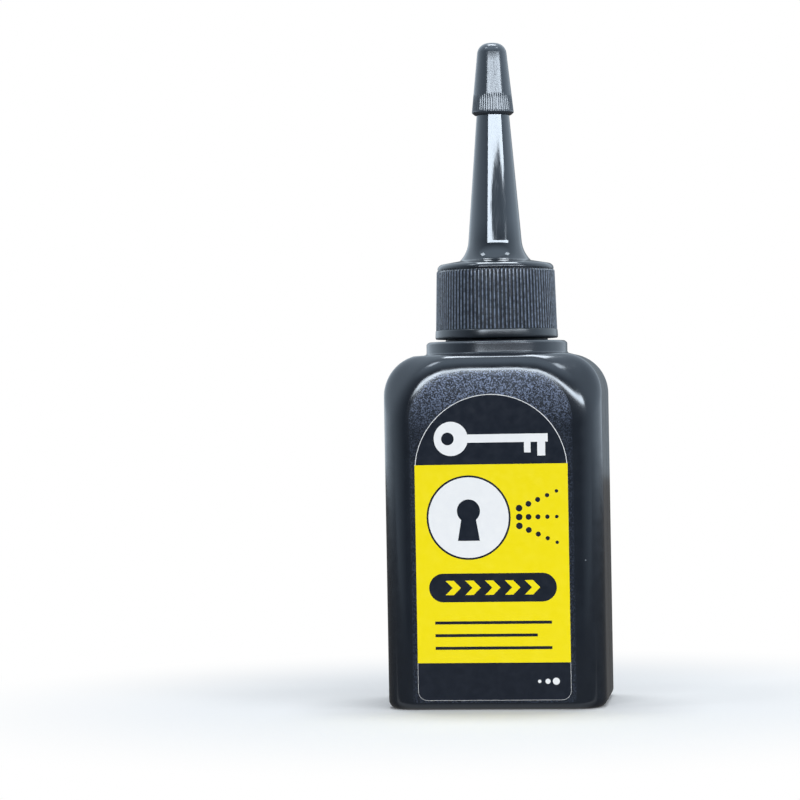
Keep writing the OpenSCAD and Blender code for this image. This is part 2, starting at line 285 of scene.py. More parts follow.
def blown_polyethylene():
    """Polished on the shoulders and sides, grained on the panels, and a little rougher on collar and neck."""
    material, tree, shader, place = new_material("blow_moulded_polyethylene")
    facing = add_node(tree, "SeparateXYZ", {0: add_node(tree, "TexCoord").outputs["Normal"]})
    ahead = add_node(tree, "Math", {0: facing.outputs["Y"]}, operation="ABSOLUTE")
    level = add_node(tree, "SeparateXYZ", {0: place}).outputs["Z"]
    # Painted shade: the painted glints, and the relief, fade towards the bottom
    glint_and_relief_fade = add_node(tree, "MapRange", {0: level, 1: faded_below, 2: unfaded_above, 3: faded_share, 4: 1.0})
    below = add_node(tree, "Math", {0: level, 1: grain_end}, operation="LESS_THAN")
    mask = add_node(tree, "MapRange", {0: ahead, 1: panel_edge, 2: panel_flat})
    for share in (glint_and_relief_fade, below):
        mask = add_node(tree, "Math", {0: mask, 1: share}, operation="MULTIPLY")
    pattern = add_node(tree, "TexNoise", {"Vector": place, "Scale": 1 / grain_size, "Detail": 1.0})
    grain = add_node(tree, "Math", {0: pattern, 1: mask}, operation="MULTIPLY")
    peel = add_node(tree, "TexNoise", {"Vector": place, "Scale": 1 / peel_size, "Detail": 2.0})
    waves = add_node(tree, "Bump", {"Height": peel, "Distance": peel_depth, "Strength": 0.2})
    bumps = add_node(tree, "Bump", {"Height": grain, "Distance": grain_depth, "Strength": 1.0, "Normal": waves})

    scuffs = add_node(tree, "TexNoise", {"Vector": place, "Scale": 1 / scuff_size, "Detail": 5.0})
    gloss = add_node(tree, "MapRange", {0: scuffs, 1: 0.35, 2: 0.7, 3: polished_roughness[0],
                                        4: polished_roughness[1]})
    above = add_node(tree, "Math", {0: level, 1: collar_foot}, operation="GREATER_THAN")
    for share, roughening in ((above, collar_roughening), (mask, grain_roughening)):
        gloss = add_node(tree, "Math", {0: share, 1: roughening, 2: gloss}, operation="MULTIPLY_ADD")
    # Painted glints: the tops of the grain take a paler tone, standing in for light glittering on them
    painted_glints = add_node(tree, "MapRange", {0: pattern, 1: painted_glint_start, 2: painted_glint_full, 3: 0.02, 4: 1.0})
    painted_glints = add_node(tree, "Math", {0: painted_glints, 1: mask}, operation="MULTIPLY")
    tone = add_node(tree, "Mix", {0: scuffs, COLOUR_A: linear(black_tones[0]), COLOUR_B: linear(black_tones[1])},
                    data_type="RGBA")
    tone = add_node(tree, "Mix", {0: painted_glints, COLOUR_A: tone, COLOUR_B: linear(painted_glint_tone)}, data_type="RGBA")
    colour = add_dust(tree, place, tone, dust_spacing, amount=0.07)
    set_inputs(tree, shader, {"Base Color": colour, "Roughness": gloss, "Normal": bumps, **plastic_gloss})
    return material


bottle_plastic = blown_polyethylene()
print("material", bottle_plastic.name)

# %% [markdown]
# **The bottle.** It is one hollow shell: a pushed-up base, a round heel, straight walls with round corners,
# a shoulder that turns from a rounded rectangle into a circle, a collar, a neck, and then the inner wall
# all the way back down. A subdivided cube could be pulled into such a form, but its corners and its circle
# would only be roughly true. So the shell is stacked from level rings. Seen from the front, the body is a
# row of upright sections from the flat panel in front to the full width in the middle, each with a round
# shoulder of its own, and a ring of the upper body is a level cut through all of them.

# %% Bottle: a whole ring from one corner
corner_steps = 20
flat_shares = [i / 20 for i in range(1, 10)] + [0.494, 0.5, 0.506] + [i / 20 for i in range(11, 20)]
mould_line_height = 0.015 * mm


def whole_ring(corner, level, mould_line=0):
    """Mirrors the (x, y) points of one corner, which run from the side to the back, and fills the flats.
    Halfway along the sides, the line where the mould parts stands a little proud."""
    quarters = [[(side * x, face * y) for x, y in points] for side, face, points in
                ((1, 1, corner), (-1, 1, corner[::-1]), (-1, -1, corner), (1, -1, corner[::-1]))]
    ring = []
    for number, quarter in enumerate(quarters):
        (x, y), (next_x, next_y) = quarter[-1], quarters[(number + 1) % 4][0]
        ring += [(*point, level) for point in quarter]
        for share in flat_shares:
            proud = math.copysign(mould_line, x) if number % 2 and share == 0.5 else 0
            ring.append((x + (next_x - x) * share + proud, y + (next_y - y) * share, level))
    return ring


# %% Bottle: base and walls
corner_radius = 5.9 * mm
heel_radius = 1.5 * mm
heel_rings = 8
standing_rim = 3 * mm
push_up, push_up_slope = 1.2 * mm, 45
push_up_corner = 1.2 * mm


def wall_ring(inset, level):
    """A ring of the straight walls or of the base, drawn in from the outside."""
    radius = max(corner_radius - inset, push_up_corner)
    centre = (half_width - inset - radius, half_depth - inset - radius)
    return whole_ring(arc(centre, radius, 0, 90, corner_steps), level)


def heel(inset_radius):
    """The rounded edge round the base, from the standing rim up to the wall."""
    angles = [90 * i / heel_rings for i in range(heel_rings + 1)]
    return [wall_ring(heel_radius - inset_radius * sine(angle), heel_radius - inset_radius * cosine(angle))
            for angle in angles]


rim_inset = heel_radius + standing_rim
outer_skin = [wall_ring(rim_inset + push_up, push_up), wall_ring(rim_inset, 0)] + heel(heel_radius)
print("rings of the base:", len(outer_skin), "with", len(outer_skin[0]), "points")

# %% Bottle: upright sections
body_height = 64.6 * mm
body_shoulder = 7.5 * mm
panel_corner_radius = 8.4 * mm
roof_edge_height = 4.4 * mm
roof_edge_depth = 3.2 * mm
roof_edge_fullness = 2.5
shoulder_delay = 6
quarter_turn = math.tau / 4


def rounded_share(share):
    """One side of a superellipse from its other side, both as shares of its half axes."""
    return (1 - share ** roof_edge_fullness) ** (1 / roof_edge_fullness)


def section(turn, inset):
    """Half width, place in depth, top and shoulder radius of an upright section. The turn goes from 0 on the
    flat panel to a quarter where the body has its full width. The panel's arch is carried outwards and only
    gives way to the tighter shoulder late on the way round."""
    corner = corner_radius - inset
    outward = corner * math.sin(turn)
    behind_panel = corner * (1 - math.cos(turn))
    edge_left = max(0, 1 - behind_panel / (roof_edge_depth - inset))
    top = body_height - inset - (roof_edge_height - inset) * (1 - rounded_share(edge_left))
    shoulder_share = math.sin(turn) ** shoulder_delay
    radius = (panel_corner_radius + outward) * (1 - shoulder_share) + (body_shoulder - inset) * shoulder_share
    return half_width - corner_radius + outward, half_depth - inset - behind_panel, top, radius


def first_turn(level, inset):
    """The turn of the first section that is still as high as a level."""
    fall = min(1, (body_height - inset - level) / (roof_edge_height - inset))
    behind_panel = (1 - rounded_share(1 - fall)) * (roof_edge_depth - inset)
    return math.acos(1 - behind_panel / (corner_radius - inset))


# %% Bottle: level cuts through the sections
wall_levels = [2.4 * mm, 20 * mm, 40 * mm]
outer_shoulder_rings, inner_shoulder_rings = 44, 16
last_shoulder_angle = 79


def upper_ring(level, inset):
    """A level cut through the upright sections, from the side round to the back."""
    start = first_turn(level, inset)
    corner = []
    for i in range(corner_steps + 1):
        half, place, top, radius = section(quarter_turn + (start - quarter_turn) * i / corner_steps, inset)
        rise = max(0, level - top + radius)
        corner.append((half - radius + math.sqrt(max(0, radius ** 2 - rise ** 2)), place))
    return whole_ring(corner, level, 0 if inset else mould_line_height)


def shoulder_levels(inset, count):
    """Levels from the foot of the shoulders to just under the roof, closer together towards the top."""
    foot = body_height - roof_edge_height - panel_corner_radius
    angles = [last_shoulder_angle * i / count for i in range(count + 1)]
    return [foot + (body_height - inset - foot) * sine(angle) for angle in angles]


outer_skin += [upper_ring(level, 0) for level in wall_levels + shoulder_levels(0, outer_shoulder_rings)]
print("highest ring of the body:", round(outer_skin[-1][0][2] / mm, 2), "mm")

# %% Bottle: collar and neck
collar_radius = 13.1 * mm
collar_top = 67 * mm
collar_edge = 0.4 * mm
collar_flat, collar_tilt = 0.3 * mm, 52
collar_foot_fillet = 0.45 * mm
bead_radius = 9.5 * mm
bead_top = collar_top + 1.4 * mm
bead_edge = 0.2 * mm
neck_radius = 8.8 * mm
neck_bore = 7.3 * mm
neck_edge = 0.35 * mm
roof_angles = [math.atan2(y, x) for x, y, level in outer_skin[-1]]


def round_ring(radius, level):
    """A circle with its points in line with those of the roof, so that no face is twisted."""
    return [(radius * math.cos(a), radius * math.sin(a), level) for a in roof_angles]


neck_profile = rounded(collar_radius, body_height, collar_foot_fillet, 270, 180, 5)
collar_in = collar_flat * sine(collar_tilt)
collar_up = collar_flat * cosine(collar_tilt)
collar_centre = (collar_radius - collar_edge, collar_top - collar_edge - collar_up)
neck_profile += arc(collar_centre, collar_edge, 0, collar_tilt, 5)
neck_profile += arc((collar_centre[0] - collar_in, collar_centre[1] + collar_up), collar_edge, collar_tilt, 90, 4)
neck_profile += rounded(bead_radius, collar_top, bead_edge, 270, 180, 3)
neck_profile += rounded(bead_radius, bead_top, bead_edge, 0, 90, 3)
neck_profile += rounded(neck_radius, bead_top, neck_edge, 270, 180, 4)
neck_profile += rounded(neck_radius, neck_top, neck_edge, 0, 90, 4)
neck_profile += rounded(neck_bore, neck_top, neck_edge, 90, 180, 4)
neck_skin = [round_ring(radius, level) for radius, level in neck_profile]
print("rings of the collar and the neck:", len(neck_skin))

# %% Bottle: inner wall and the whole shell
bottle_wall = 1 * mm
inner_skin = [round_ring(neck_bore, body_height - bottle_wall)]
inner_levels = shoulder_levels(bottle_wall, inner_shoulder_rings)[::-1]
inner_skin += [upper_ring(level, bottle_wall) for level in inner_levels]
inner_skin += heel(heel_radius - bottle_wall)[::-1]
slope_shift = bottle_wall * math.tan(math.radians(push_up_slope / 2))
inner_skin += [wall_ring(rim_inset - slope_shift, bottle_wall),
               wall_ring(rim_inset + push_up - slope_shift, push_up + bottle_wall)]

bottle_shell = stack_rings("bottle_shell", outer_skin + neck_skin + inner_skin)
finish_piece(bottle_shell, "bottle", bottle_plastic, sharp_angle=35)
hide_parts("bottle")
print("rings in the bottle:", len(outer_skin + neck_skin + inner_skin))

# %% [markdown]
# **Spout cap.** Cap and spout are one injection moulding of polyethylene. The spout came from a polished
# mould, so it mirrors its surroundings sharply, while the ribbed skirt is satin. One material covers both:
# its roughness changes with height, its colour is painted paler up the spout as a painted sheen, and fine
# scratches run up and down the spout.

# %% Injection-moulded polyethylene
# Painted sheen: the colour turns paler over the second height above the polished level
polish_blend, painted_sheen_height = 0.6 * mm, 9 * mm
scratch_stretch = 0.12
clouds_per_scratch = 6


def moulded_polyethylene(name, tones, polish, satin, polish_from, scratch_size, scratch_depth):
    """Polished above a level and satin below it, with fine scratches along the axis and a little dust.
    The tones are the satin colour and a paler one painted in above the level, a painted sheen."""
    material, tree, shader, place = new_material(name)
    level = add_node(tree, "SeparateXYZ", {0: place}).outputs["Z"]
    height = add_node(tree, "MapRange", {0: level, 1: polish_from, 2: polish_from + polish_blend})
    long_ways = add_node(tree, "Mapping", {"Vector": place, "Scale": (1, 1, scratch_stretch)})
    scratches = add_node(tree, "TexNoise", {"Vector": long_ways, "Scale": 1 / scratch_size, "Detail": 4.0,
                                            "Roughness": 0.65})
    cloud_size = clouds_per_scratch * scratch_size
    clouds = add_node(tree, "TexNoise", {"Vector": place, "Scale": 1 / cloud_size, "Detail": 4.0})
    polished = add_node(tree, "MapRange", {0: scratches, 1: 0.45, 2: 0.8, 3: polish[0], 4: polish[1]})
    matt = add_node(tree, "MapRange", {0: clouds, 1: 0.35, 2: 0.7, 3: satin[0], 4: satin[1]})
    gloss = add_node(tree, "Mix", {0: height, 2: matt, 3: polished})
    relief = add_node(tree, "Bump", {"Height": scratches, "Distance": scratch_depth, "Strength": 1.0})
    # Painted sheen: the colour pales upwards from the level, for the light on the spout
    painted_sheen = add_node(tree, "MapRange", {0: level, 1: polish_from, 2: polish_from + painted_sheen_height})
    tone = add_node(tree, "Mix", {0: painted_sheen, COLOUR_A: linear(tones[0]), COLOUR_B: linear(tones[1])},
                    data_type="RGBA")
    colour = add_dust(tree, place, tone, dust_spacing / 2, amount=0.04)
    set_inputs(tree, shader, {"Base Color": colour, "Roughness": gloss, "Normal": relief, **plastic_gloss})
    return material


# %% [markdown]
# The cap is turned from its profile. The number of steps is six for each grip rib, so that the ribs can be
# pressed into the turned shape afterwards: the points of the ribbed band move inwards to the floor of the
# grooves. The ribs stand proud of the edge above them, which is worn to a narrow flat, and end there in round
# heads.

# %% Spout cap: spout and flare
cap_roof = 1.7 * mm
cap_top = washer_high.z + cap_roof
spout_tip = cap_high.z
spout_foot_radius = 5.25 * mm
spout_tip_radius = 2.05 * mm
flare_radius = 5.8 * mm
flare_angle = 45


def spout_radius(level):
    share = (level - cap_top) / (spout_tip - cap_top)
    return spout_foot_radius + (spout_tip_radius - spout_foot_radius) * share


spout_lean = math.degrees(math.atan((spout_foot_radius - spout_tip_radius) / (spout_tip - cap_top)))
flare_rise = flare_radius * sine(flare_angle)
flare_top = cap_top + flare_rise - flare_radius * sine(spout_lean)
flare_centre = (spout_radius(flare_top) + flare_radius * cosine(spout_lean), cap_top + flare_rise)
flare_foot = flare_centre[0] - flare_radius * cosine(flare_angle)
print("the spout's wall leans", round(spout_lean, 2), "degrees")

# %% Spout cap: ribbed skirt
rib_count = 96
steps_per_rib = 6
rib_height, rib_sink = 0.25 * mm, 0.08 * mm
rib_top_drop = 0.3 * mm
rib_head_length = 0.4 * mm
skirt_foot = cap_low.z
skirt_foot_radius = cap_high.x
skirt_top_radius = 11.05 * mm
skirt_band_top = skirt_foot + 1.7 * mm
skirt_edge = 0.75 * mm
edge_flat, edge_tilt = 0.2 * mm, 48
roof_slope = 10

cap_edge_radius = skirt_top_radius - rib_height
flat_in = edge_flat * sine(edge_tilt)
flat_up = edge_flat * cosine(edge_tilt)
roof_edge = cap_edge_radius - flat_in - skirt_edge * (1 - sine(roof_slope))
skirt_top = (cap_top - (roof_edge - flare_foot) * math.tan(math.radians(roof_slope))
             - skirt_edge * cosine(roof_slope) - flat_up)


def skirt_radius(level):
    share = (level - skirt_foot) / (skirt_top - skirt_foot)
    return skirt_foot_radius + (skirt_top_radius - skirt_foot_radius) * share


def rib_floor(level):
    """Radius of the grooves between the ribs."""
    return skirt_radius(level) - rib_sink - rib_height


rib_top = skirt_top - rib_top_drop
rib_length = rib_top - rib_head_length - skirt_band_top
rib_rows = [skirt_band_top + rib_length * share for share in (0, 0.03, 0.25, 0.5, 0.75, 1)]
print("ribs:", rib_count, "of", round(rib_length / mm, 2), "mm")

# %% Spout cap: the whole profile
cap_bore = 9.95 * mm
band_edge, band_step = 0.28 * mm, 0.4 * mm
# Share of the rib's height that is gone, and how far under the rib's top, in mm
rib_heads = ((0.03, 0.3), (0.15, 0.16), (0.45, 0.06), (1, 0))
spout_wall = 1.2 * mm
flare_lip = 0.25 * mm
spout_rings = (92 * mm, 100 * mm, 108 * mm, 115 * mm)
spout_lip = 0.3 * mm
outlet_radius, outlet_lip = 0.9 * mm, 0.15 * mm
outlet_length = 4 * mm

band_level = skirt_foot + band_edge + band_step
cap_profile = [(cap_bore + band_edge, skirt_foot)]
cap_profile += rounded(skirt_foot_radius, skirt_foot, band_edge, 270, 360, 4)
cap_profile += [(skirt_radius(band_level), band_level)]
cap_profile += rounded(skirt_radius(skirt_band_top), skirt_band_top, band_edge, 0, 80, 4)
cap_profile += [(rib_floor(level) + rib_height, level) for level in rib_rows]
cap_profile += [(rib_floor(rib_top) + rib_height * (1 - share), rib_top - drop * mm) for share, drop in rib_heads]
edge_centre = cap_edge_radius - skirt_edge
cap_profile += arc((edge_centre, skirt_top), skirt_edge, 0, edge_tilt, 7)
cap_profile += arc((edge_centre - flat_in, skirt_top + flat_up), skirt_edge, edge_tilt, 90 - roof_slope, 5)
cap_profile += [(flare_foot + flare_lip, cap_top - flare_lip * math.tan(math.radians(roof_slope)))]
cap_profile += arc(flare_centre, flare_radius, 180 + flare_angle, 180 + spout_lean, 14)
cap_profile += [(spout_radius(level), level) for level in spout_rings]
cap_profile += rounded(spout_tip_radius, spout_tip, spout_lip, spout_lean, 90, 4)
cap_profile += rounded(outlet_radius, spout_tip, outlet_lip, 90, 180, 3)
cap_profile += [(outlet_radius, spout_tip - outlet_length), (spout_foot_radius - spout_wall, washer_high.z),
                (cap_bore, washer_high.z), (cap_bore, skirt_foot + band_edge)]
print("points in the cap's profile:", len(cap_profile))

# %% Spout cap: grooves between the ribs
groove_steepness = 1.6


def press_grooves(piece, count, low, high, inner_radius, floor):
    """Moves the outer points between two levels inwards, in the grooves as far as the floor's radius."""
    bpy.ops.object.select_all(action="DESELECT")
    bpy.context.view_layer.objects.active = piece
    bpy.ops.object.mode_set(mode="EDIT")
    mesh = bmesh.from_edit_mesh(piece.data)
    moved = 0
    for vertex in mesh.verts:
        radius = math.hypot(vertex.co.x, vertex.co.y)
        if radius < inner_radius or not low - tolerance < vertex.co.z < high:
            continue
        angle = math.atan2(vertex.co.y, vertex.co.x)
        groove = 0.5 - 0.5 * min(max(groove_steepness * math.cos(count * angle), -1), 1)
        share = 1 - max(0, radius - floor(vertex.co.z)) * groove / radius
        vertex.co.x *= share
        vertex.co.y *= share
        moved += 1
    bmesh.update_edit_mesh(piece.data)
    leave_edit_mode()
    print(f"{piece.name}: {moved} points of {count} ribs")


# %% Spout cap: painted highlights on the rib crests
# Painted highlights: they begin this far under a crest and are full here
highlight_depth, highlight_full = -0.12 * mm, -0.02 * mm
highlight_patch = 0.6 * mm


def paint_crest_highlights(material, tone):
    """Pales the crests of the ribs in patches, as painted highlights. The mask reads how far out a point stands.
    """
    tree = material.node_tree
    shader = tree.nodes["Principled BSDF"]
    base = shader.inputs["Base Color"].links[0].from_socket
    place = add_node(tree, "TexCoord").outputs["Object"]
    level = add_node(tree, "SeparateXYZ", {0: place}).outputs["Z"]
    flat = add_node(tree, "VectorMath", {0: place, 1: (1, 1, 0)}, operation="MULTIPLY")
    reach = add_node(tree, "VectorMath", {0: flat}, operation="LENGTH")
    crest = add_node(tree, "MapRange", {0: level, 1: skirt_foot, 2: skirt_top, 3: skirt_foot_radius - rib_sink,
                                        4: skirt_top_radius - rib_sink})
    proud = add_node(tree, "Math", {0: reach, 1: crest}, operation="SUBTRACT")
    crest_highlight = add_node(tree, "MapRange", {0: proud, 1: highlight_depth, 2: highlight_full})
    above = add_node(tree, "Math", {0: level, 1: skirt_band_top}, operation="GREATER_THAN")
    patches = add_node(tree, "TexNoise", {"Vector": place, "Scale": 1 / highlight_patch, "Detail": 2.0})
    patches = add_node(tree, "MapRange", {0: patches, 1: 0.35, 2: 0.65, 3: 0.25, 4: 1.0})
    for share in (above, patches):
        crest_highlight = add_node(tree, "Math", {0: crest_highlight, 1: share}, operation="MULTIPLY")
    # Painted highlight: the crests take a paler tone above the band, in patches
    mixed = add_node(tree, "Mix", {0: crest_highlight, COLOUR_A: base, COLOUR_B: linear(tone)}, data_type="RGBA")
    set_inputs(tree, shader, {"Base Color": mixed})


# %% Spout cap: turn it and press the ribs
# The second tone is the paler colour of the painted sheen on the spout
cap_plastic = moulded_polyethylene("injection_moulded_polyethylene", tones=("#171B21", "#3E454D"),
                                   polish=(0.03, 0.07), satin=(0.2, 0.27), polish_from=skirt_top,
                                   scratch_size=0.35 * mm, scratch_depth=0.0008 * mm)
# The pale tone of the painted highlights on the rib crests
paint_crest_highlights(cap_plastic, "#6B778C")
spout_cap = turn_profile("ribbed_spout_cap", cap_profile, rib_count * steps_per_rib, closed=True)
press_grooves(spout_cap, rib_count, skirt_band_top, rib_top, cap_bore + 0.1 * mm, rib_floor)
finish_piece(spout_cap, "spout_cap", cap_plastic, sharp_angle=40)
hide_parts("spout_cap")

# %% [markdown]
# **Tip cap.** The little cap on the end of the spout is turned in the same way: a bevelled rim, a band of
# fine knurling, a tapered wall and a dome. It has been handled a lot, so its satin surface is cloudy.

# %% Tip cap: sizes
knurl_count = 52
knurl_depth = 0.09 * mm
knurl_run_out = 1 * mm
tip_wall = 0.55 * mm
tip_crown = 1.2 * mm
tip_bevel, tip_rim_edge = 0.5 * mm, 0.15 * mm
tip_rim_drop = 0.4 * mm
tip_clearance = 0.1 * mm
tip_rings = [116 * mm, 119 * mm]


def tip_bore(level):
    return spout_radius(level) + tip_clearance


tip_foot = tip_low.z - tip_rim_drop
tip_rim = tip_foot + tip_bevel
knurl_low = tip_rim + 0.2 * mm
knurl_top = tip_low.z + 3.6 * mm
dome_radius = tip_bore(spout_tip) + tip_wall - tip_crown / 2
dome_foot = tip_high.z - dome_radius
rim_radius = tip_high.x
tip_shoulder_radius = tip_bore(dome_foot) + tip_wall
hollow_end = tip_high.z - tip_crown


def tip_radius(level):
    share = (level - tip_rim) / (dome_foot - tip_rim)
    return rim_radius + (tip_shoulder_radius - rim_radius) * share


def knurl_floor(level):
    """Radius of the knurl's grooves, which run out into the wall at their upper ends."""
    return tip_radius(level) - knurl_depth * smooth_step((knurl_top - level) / knurl_run_out)


# %% Tip cap: turn it and press the knurl
knurl_rows = [knurl_low + (knurl_top - knurl_low) * share for share in (0, 0.03, 0.3, 0.6, 0.8, 0.87, 0.94, 1)]
tip_profile = [(rim_radius - tip_bevel, tip_foot)]
tip_profile += arc((rim_radius - tip_rim_edge, tip_rim), tip_rim_edge, -40, 0, 3)
tip_profile += [(tip_radius(level), level) for level in knurl_rows + tip_rings]
tip_profile += arc((tip_shoulder_radius - dome_radius, dome_foot), dome_radius, 8, 90, 12)
tip_profile += [(0, tip_high.z)]
tip_hollow = [(0, hollow_end), (tip_bore(hollow_end), hollow_end), (tip_bore(tip_foot), tip_foot)]

tip_plastic = moulded_polyethylene("handled_polyethylene", tones=("#393F47", "#3A4149"), polish=(0.18, 0.27),
                                   satin=(0.3, 0.4), polish_from=tip_foot, scratch_size=0.3 * mm,
                                   scratch_depth=0.0005 * mm)
tip_cap = turn_profile("knurled_tip_cap", tip_hollow + tip_profile, knurl_count * steps_per_rib, closed=False)
press_grooves(tip_cap, knurl_count, knurl_low, knurl_top, tip_bore(knurl_low) + 0.3 * mm, knurl_floor)
finish_piece(tip_cap, "tip_cap", tip_plastic, sharp_angle=50)
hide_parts("tip_cap")

# %% [markdown]
# **Screw thread.** The neck carries two turns of a raised thread, and the cap carries its partner, half a
# pitch lower. A Screw modifier could make them, but its ends would be cut off square. Here a small
# four-cornered ring is stacked along the helix, and it shrinks into the wall at both ends.

# %% Screw threads
thread_pitch = 3.175 * mm
thread_turns = 2
thread_steps_per_turn = 60
neck_thread_foot = 71.4 * mm
thread_height, thread_least_height = 0.75 * mm, 0.02 * mm
thread_foot_width = 1.3 * mm
thread_crest_width = 0.5 * mm
thread_root_cover = 0.15 * mm
run_out_share = 0.12


def thread(name, root, outward, foot_level):
    """A right-handed thread on a wall of radius root, standing out from it (1) or in from it (-1)."""
    count = thread_turns * thread_steps_per_turn
    rings = []
    for i in range(count + 1):
        share = i / count
        angle = math.tau * thread_turns * share
        level = foot_level + thread_pitch * thread_turns * share
        fade = smooth_step(min(share, 1 - share) / run_out_share)
        crest = root + outward * (thread_height * fade + thread_least_height)
        floor = root - outward * thread_root_cover
        half_crest, half_foot = thread_crest_width / 2, thread_foot_width / 2
        corners = ((floor, -half_foot), (crest, -half_crest), (crest, half_crest), (floor, half_foot))
        rings.append([(r * math.cos(angle), r * math.sin(angle), level + up) for r, up in corners])
    return stack_rings(name, rings)


neck_thread = thread("neck_thread", neck_radius, 1, neck_thread_foot)
finish_piece(neck_thread, "bottle", bottle_plastic, sharp_angle=40)
cap_thread = thread("cap_thread", cap_bore, -1, neck_thread_foot - thread_pitch / 2)
finish_piece(cap_thread, "spout_cap", cap_plastic, sharp_angle=40)

# %% [markdown]
# **Pinch seam.** Where the mould pinched the soft tube shut, a blown bottle keeps a low ridge across its
# base, in line with the parting lines on its sides.

# %% Pinch seam under the base
seam_length = 22 * mm
seam_width = 0.7 * mm
seam_height, seam_sink = 0.4 * mm, 0.1 * mm
seam_bevel_share = 0.4
pinch_seam = start_piece("base_pinch_seam", bpy.ops.mesh.primitive_cube_add, size=1,
                         location=(0, 0, push_up - seam_height / 2 + seam_sink))
pinch_seam.scale = (seam_length, seam_width, seam_height)
bpy.ops.object.transform_apply(location=True, scale=True)
bpy.ops.object.mode_set(mode="EDIT")
bpy.ops.mesh.bevel(offset=seam_height * seam_bevel_share, segments=3, affect="EDGES")
bpy.ops.object.mode_set(mode="OBJECT")
finish_piece(pinch_seam, "bottle", bottle_plastic, sharp_angle=40)

# %% [markdown]
# **Label.** The label is a white plastic film, printed and varnished: a black field in the arch, a yellow
# field below it and a black foot, with a fine white line left along the edge. The print could be masks in
# a material, but edges drawn by geometry stay crisp at any distance, so each ink is a very thin plate on
# the film. The signs on it are plain ones: a key, a lock's face, powder grains and a band of chevrons.

# %% Printed film
mottle_size, ripple_size, ripple_depth = 1.2 * mm, 9 * mm, 0.15 * mm
varnish_range = 0.05


def printed_film(name, tones, roughness):
    """Ink under a satin varnish. The tone wavers a little, and the film isn't perfectly flat."""
    material, tree, shader, place = new_material(name)
    mottle = add_node(tree, "TexNoise", {"Vector": place, "Scale": 1 / mottle_size, "Detail": 5.0})
    ripple = add_node(tree, "TexNoise", {"Vector": place, "Scale": 1 / ripple_size, "Detail": 1.0})
    tone = add_node(tree, "Mix", {0: mottle, COLOUR_A: linear(tones[0]), COLOUR_B: linear(tones[1])},
                    data_type="RGBA")
    varnish = add_node(tree, "MapRange", {0: mottle, 1: 0.3, 2: 0.7, 3: roughness - varnish_range,
                                          4: roughness + varnish_range})
    relief = add_node(tree, "Bump", {"Height": ripple, "Distance": ripple_depth, "Strength": 0.35})
    set_inputs(tree, shader, {"Base Color": tone, "Roughness": varnish, "Normal": relief})
    return material


white_film = printed_film("white_label_film", ("#E9EAEC", "#F2F2F2"), roughness=0.2)
black_ink = printed_film("black_label_ink", ("#181D26", "#212732"), roughness=0.16)
yellow_ink = printed_film("yellow_label_ink", ("#F3DE0E", "#F7E314"), roughness=0.2)


# %% Label: plates of ink
def print_plates(name, outlines, back, front, material):
    """Thin plates in one mesh, each a flat outline of (x, z) points that is extruded towards -Y."""
    bpy.ops.object.select_all(action="DESELECT")
    for number, outline in enumerate(outlines):
        bpy.ops.mesh.primitive_circle_add(vertices=len(outline), fill_type="NGON")
        if number == 0:
            piece = bpy.context.object
            piece.name = piece.data.name = name
            bpy.ops.object.mode_set(mode="EDIT")
        mesh = bmesh.from_edit_mesh(piece.data)
        for vertex, (x, z) in zip([v for v in mesh.verts if v.select], outline):
            vertex.co = (x, back, z)
        bmesh.update_edit_mesh(piece.data)
        bpy.ops.mesh.extrude_region_move(TRANSFORM_OT_translate={"value": (0, front - back, 0)})
    leave_edit_mode()
    finish_piece(piece, "bottle", material, sharp_angle=20)
    return piece


def disc(x, z, radius, steps):
    return arc((x, z), radius, 0, 360 * (steps - 1) / steps, steps - 1)


# %% Label: film and fields
label_half = label_high.x
label_foot = label_low.z
arch_centre = label_high.z - label_half
label_corner = 1.7 * mm
hairline, foot_hairline = 0.12 * mm, 0.05 * mm
yellow_top = 44.5 * mm
yellow_foot = 8.6 * mm
film_front = label_low.y + 0.04 * mm
field_front = label_low.y + 0.03 * mm
motif_front = label_low.y + 0.015 * mm
overprint_front = label_low.y


def label_outline(inset, high):
    """The label's outline drawn in by an inset, from its foot up to a level."""
    half, corner, foot = label_half - inset, label_corner - inset, label_foot + inset
    points = arc((corner - half, foot + corner), corner, 180, 270, 8)
    points += arc((half - corner, foot + corner), corner, 270, 360, 8)
    if high > arch_centre:
        return points + arc((0, arch_centre), half, 0, 180, 64)
    return points + [(half, high), (-half, high)]


label_film = print_plates("label_film", [label_outline(0, label_high.z)], label_high.y, film_front, white_film)
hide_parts("front_label")
arch_start = math.degrees(math.asin((yellow_top - arch_centre) / (label_half - hairline)))
arch_field = arc((0, arch_centre), label_half - hairline, arch_start, 180 - arch_start, 64)
print_plates("label_black_fields", [arch_field, label_outline(foot_hairline, yellow_foot)], film_front,
             field_front, black_ink)
print_plates("label_yellow_field", [[(-label_half, yellow_foot), (label_half, yellow_foot),
                                     (label_half, yellow_top), (-label_half, yellow_top)]],
             film_front, field_front, yellow_ink)

# %% Label: outlines of the signs
def bar(x, z, width, height):
    return [(x, z), (x + width, z), (x + width, z + height), (x, z + height)]


# Start, end and depth of each tooth, from the key's end
key_teeth = ((4.32 * mm, 3.12 * mm, 1.9 * mm), (1.92 * mm, 0.48 * mm, 2.5 * mm))


def key_outline(x, z, bow, shaft, length):
    """A key lying on its side: a round bow, a shaft and two teeth."""
    start = math.degrees(math.asin(shaft / 2 / bow))
    points = arc((x, z), bow, start, 360 - start, 48)
    low, end = z - shaft / 2, x + length
    for far, near, depth in key_teeth:
        points += [(end - far, low), (end - far, low - depth), (end - near, low - depth), (end - near, low)]
    return points + [(end, low), (end, z + shaft / 2)]


def chevron(x, z, width, height):
    half = height / 2
    return [(x, z - half), (x + width, z - half), (x + width + half, z), (x + width, z + half), (x, z + half),
            (x + half, z)]


